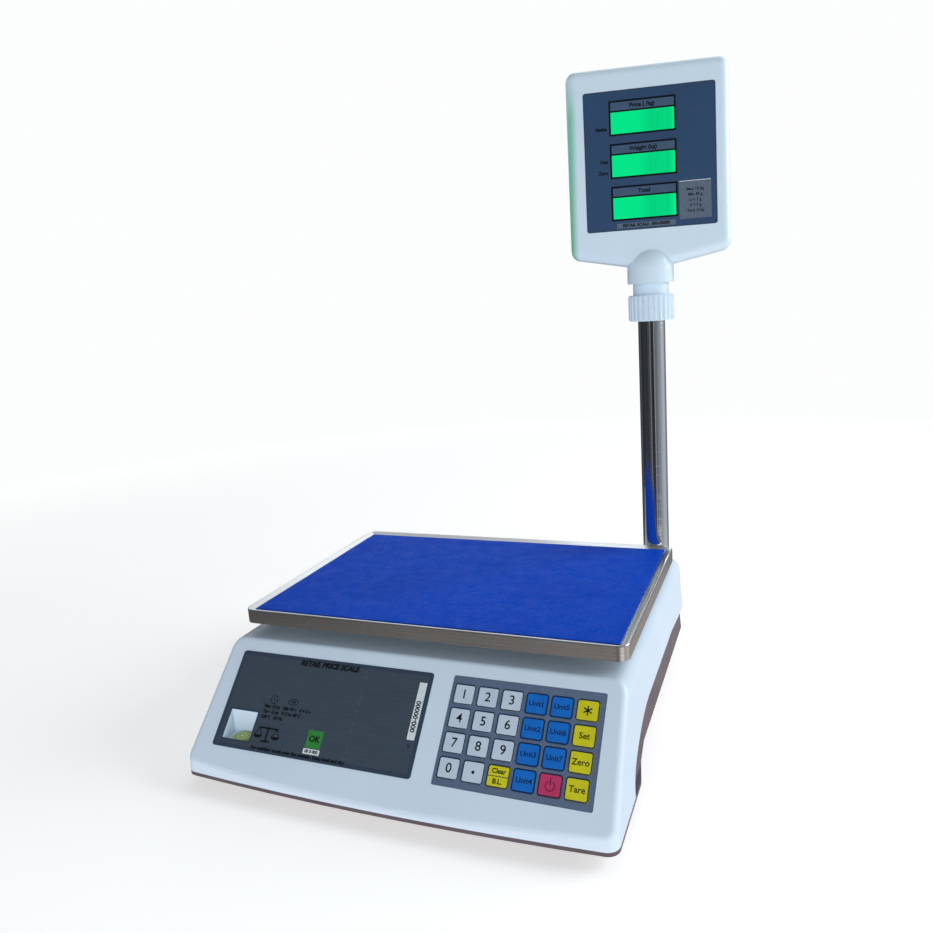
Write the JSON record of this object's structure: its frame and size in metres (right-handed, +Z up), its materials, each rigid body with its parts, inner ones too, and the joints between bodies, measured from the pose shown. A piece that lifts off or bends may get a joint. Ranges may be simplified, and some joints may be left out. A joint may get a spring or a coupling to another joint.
{
  "type": "retail price scale",
  "caption": "Bench price scale: sloping keypad front, rimmed steel pan under blue film, upright chrome pole carrying a swivelling display head.",
  "frame": {"origin": "on the table under the middle of the whole scale's bounding box", "axes": "+Z up, -Y towards the person at the keypad, +X to that person's right, square to the base's sides"},
  "size_m": [0.3902, 0.3855, 0.5543],
  "materials": {
    "housing_plastic": "moulded ABS, fine satin texture, off-white",
    "head_plastic": "moulded ABS, fine satin texture, off-white",
    "tray_plastic": "moulded, matt dark grey-brown",
    "pan_steel": "pressed stainless sheet, satin",
    "protective_film": "thin blue shipping film, glossy",
    "front_label_face": "printed polycarbonate overlay, dark grey",
    "display_label_face": "printed polycarbonate overlay, slate blue",
    "keypad_face": "printed membrane, slate",
    "key_light": "printed membrane key, pale grey",
    "key_blue": "printed membrane key, blue",
    "key_yellow": "printed membrane key, yellow",
    "key_magenta": "printed membrane key, magenta red",
    "chrome_tube": "polished chrome plated tube",
    "lcd_glass": "lit green LCD glass",
    "vial": "clear vial with yellow-green liquid",
    "foot_rubber": "matt black rubber",
    "circuit_board": "solder mask green laminate",
    "zinc_steel": "zinc plated steel",
    "cast_aluminium": "machined and cast aluminium",
    "battery_case": "moulded dark case",
    "transformer_iron": "varnished laminations",
    "black_plastic": "moulded black nylon",
    "rocker_plastic": "moulded black, glossy",
    "lead_jacket": "grey PVC jacket"
  },
  "bodies": {
    "base": {"top_housing": "housing_plastic", "bottom_tray": "tray_plastic", "housing_screws": "zinc_steel", "pan_support": "cast_aluminium", "pan_bumpers": "foot_rubber", "load_cell": "cast_aluminium", "cell_bolts": "zinc_steel", "overload_stop": "zinc_steel", "front_label": "front_label_face", "bubble_level": "vial", "keypad_overlay": "keypad_face", "keypad_board": "circuit_board", "main_board": "circuit_board", "mains_transformer": "transformer_iron", "battery": "battery_case", "battery_strap": "zinc_steel", "mains_inlet": "black_plastic", "power_switch": "black_plastic", "pole": "chrome_tube", "pole_socket": "tray_plastic", "display_lead": "lead_jacket"},
    "pan": {"weighing_pan": "pan_steel", "pan_film": "protective_film"},
    "head": {"swivel_neck": "head_plastic", "head_front": "head_plastic", "head_rear": "head_plastic", "head_screws": "zinc_steel", "display_label": "display_label_face", "lcd_panels": "lcd_glass", "display_board": "circuit_board"},
    "nut": {"clamp_nut": "head_plastic"},
    "rocker": {"power_rocker": "rocker_plastic"},
    "key_1": {"key_1": "key_light"},
    "key_2": {"key_2": "key_light"},
    "key_3": {"key_3": "key_light"},
    "key_unit_1": {"key_unit_1": "key_blue"},
    "key_unit_5": {"key_unit_5": "key_blue"},
    "key_star": {"key_star": "key_yellow"},
    "key_4": {"key_4": "key_light"},
    "key_5": {"key_5": "key_light"},
    "key_6": {"key_6": "key_light"},
    "key_unit_2": {"key_unit_2": "key_blue"},
    "key_unit_6": {"key_unit_6": "key_blue"},
    "key_set": {"key_set": "key_yellow"},
    "key_7": {"key_7": "key_light"},
    "key_8": {"key_8": "key_light"},
    "key_9": {"key_9": "key_light"},
    "key_unit_3": {"key_unit_3": "key_blue"},
    "key_unit_7": {"key_unit_7": "key_blue"},
    "key_zero": {"key_zero": "key_yellow"},
    "key_0": {"key_0": "key_light"},
    "key_point": {"key_point": "key_light"},
    "key_clear": {"key_clear": "key_yellow"},
    "key_unit_4": {"key_unit_4": "key_blue"},
    "key_power": {"key_power": "key_magenta"},
    "key_tare": {"key_tare": "key_yellow"},
    "foot_front_left": {"foot_front_left": "foot_rubber"},
    "foot_front_right": {"foot_front_right": "foot_rubber"},
    "foot_rear_left": {"foot_rear_left": "foot_rubber"},
    "foot_rear_right": {"foot_rear_right": "foot_rubber"}
  },
  "joints": [
    {"name": "pan_lift", "type": "slide", "parent": "base", "child": "pan", "axis": [0, 0, 1], "range_m": [0, 0.05]},
    {"name": "head_swivel", "type": "hinge", "parent": "base", "child": "head", "pos_m": [0.1252, 0.13875, 0.3655], "axis": [0, 0, 1], "range_deg": [-178, 152]},
    {"name": "nut_turn", "type": "hinge", "parent": "head", "child": "nut", "pos_m": [0.1252, 0.13875, 0.3419], "axis": [0, 0, 1], "range_deg": [0, 180]},
    {"name": "rocker_tip", "type": "hinge", "parent": "base", "child": "rocker", "pos_m": [-0.1062, 0.15795, 0.029], "axis": [0, 0, -1], "range_deg": [0, 16]},
    {"name": "key_1_press", "type": "slide", "parent": "base", "child": "key_1", "axis": [0, 0.712, -0.7022], "range_m": [0, 0.0004], "stiffness_N_per_m": 400, "springref_m": -0.003},
    {"name": "key_2_press", "type": "slide", "parent": "base", "child": "key_2", "axis": [0, 0.712, -0.7022], "range_m": [0, 0.0004], "stiffness_N_per_m": 400, "springref_m": -0.003},
    {"name": "key_3_press", "type": "slide", "parent": "base", "child": "key_3", "axis": [0, 0.712, -0.7022], "range_m": [0, 0.0004], "stiffness_N_per_m": 400, "springref_m": -0.003},
    {"name": "key_unit_1_press", "type": "slide", "parent": "base", "child": "key_unit_1", "axis": [0, 0.712, -0.7022], "range_m": [0, 0.0004], "stiffness_N_per_m": 400, "springref_m": -0.003},
    {"name": "key_unit_5_press", "type": "slide", "parent": "base", "child": "key_unit_5", "axis": [0, 0.712, -0.7022], "range_m": [0, 0.0004], "stiffness_N_per_m": 400, "springref_m": -0.003},
    {"name": "key_star_press", "type": "slide", "parent": "base", "child": "key_star", "axis": [0, 0.712, -0.7022], "range_m": [0, 0.0004], "stiffness_N_per_m": 400, "springref_m": -0.003},
    {"name": "key_4_press", "type": "slide", "parent": "base", "child": "key_4", "axis": [0, 0.712, -0.7022], "range_m": [0, 0.0004], "stiffness_N_per_m": 400, "springref_m": -0.003},
    {"name": "key_5_press", "type": "slide", "parent": "base", "child": "key_5", "axis": [0, 0.712, -0.7022], "range_m": [0, 0.0004], "stiffness_N_per_m": 400, "springref_m": -0.003},
    {"name": "key_6_press", "type": "slide", "parent": "base", "child": "key_6", "axis": [0, 0.712, -0.7022], "range_m": [0, 0.0004], "stiffness_N_per_m": 400, "springref_m": -0.003},
    {"name": "key_unit_2_press", "type": "slide", "parent": "base", "child": "key_unit_2", "axis": [0, 0.712, -0.7022], "range_m": [0, 0.0004], "stiffness_N_per_m": 400, "springref_m": -0.003},
    {"name": "key_unit_6_press", "type": "slide", "parent": "base", "child": "key_unit_6", "axis": [0, 0.712, -0.7022], "range_m": [0, 0.0004], "stiffness_N_per_m": 400, "springref_m": -0.003},
    {"name": "key_set_press", "type": "slide", "parent": "base", "child": "key_set", "axis": [0, 0.712, -0.7022], "range_m": [0, 0.0004], "stiffness_N_per_m": 400, "springref_m": -0.003},
    {"name": "key_7_press", "type": "slide", "parent": "base", "child": "key_7", "axis": [0, 0.712, -0.7022], "range_m": [0, 0.0004], "stiffness_N_per_m": 400, "springref_m": -0.003},
    {"name": "key_8_press", "type": "slide", "parent": "base", "child": "key_8", "axis": [0, 0.712, -0.7022], "range_m": [0, 0.0004], "stiffness_N_per_m": 400, "springref_m": -0.003},
    {"name": "key_9_press", "type": "slide", "parent": "base", "child": "key_9", "axis": [0, 0.712, -0.7022], "range_m": [0, 0.0004], "stiffness_N_per_m": 400, "springref_m": -0.003},
    {"name": "key_unit_3_press", "type": "slide", "parent": "base", "child": "key_unit_3", "axis": [0, 0.712, -0.7022], "range_m": [0, 0.0004], "stiffness_N_per_m": 400, "springref_m": -0.003},
    {"name": "key_unit_7_press", "type": "slide", "parent": "base", "child": "key_unit_7", "axis": [0, 0.712, -0.7022], "range_m": [0, 0.0004], "stiffness_N_per_m": 400, "springref_m": -0.003},
    {"name": "key_zero_press", "type": "slide", "parent": "base", "child": "key_zero", "axis": [0, 0.712, -0.7022], "range_m": [0, 0.0004], "stiffness_N_per_m": 400, "springref_m": -0.003},
    {"name": "key_0_press", "type": "slide", "parent": "base", "child": "key_0", "axis": [0, 0.712, -0.7022], "range_m": [0, 0.0004], "stiffness_N_per_m": 400, "springref_m": -0.003},
    {"name": "key_point_press", "type": "slide", "parent": "base", "child": "key_point", "axis": [0, 0.712, -0.7022], "range_m": [0, 0.0004], "stiffness_N_per_m": 400, "springref_m": -0.003},
    {"name": "key_clear_press", "type": "slide", "parent": "base", "child": "key_clear", "axis": [0, 0.712, -0.7022], "range_m": [0, 0.0004], "stiffness_N_per_m": 400, "springref_m": -0.003},
    {"name": "key_unit_4_press", "type": "slide", "parent": "base", "child": "key_unit_4", "axis": [0, 0.712, -0.7022], "range_m": [0, 0.0004], "stiffness_N_per_m": 400, "springref_m": -0.003},
    {"name": "key_power_press", "type": "slide", "parent": "base", "child": "key_power", "axis": [0, 0.712, -0.7022], "range_m": [0, 0.0004], "stiffness_N_per_m": 400, "springref_m": -0.003},
    {"name": "key_tare_press", "type": "slide", "parent": "base", "child": "key_tare", "axis": [0, 0.712, -0.7022], "range_m": [0, 0.0004], "stiffness_N_per_m": 400, "springref_m": -0.003},
    {"name": "foot_front_left_screw", "type": "slide", "parent": "base", "child": "foot_front_left", "axis": [0, 0, -1], "range_m": [0, 0.006]},
    {"name": "foot_front_right_screw", "type": "slide", "parent": "base", "child": "foot_front_right", "axis": [0, 0, -1], "range_m": [0, 0.006]},
    {"name": "foot_rear_left_screw", "type": "slide", "parent": "base", "child": "foot_rear_left", "axis": [0, 0, -1], "range_m": [0, 0.006]},
    {"name": "foot_rear_right_screw", "type": "slide", "parent": "base", "child": "foot_rear_right", "axis": [0, 0, -1], "range_m": [0, 0.006]}
  ]
}
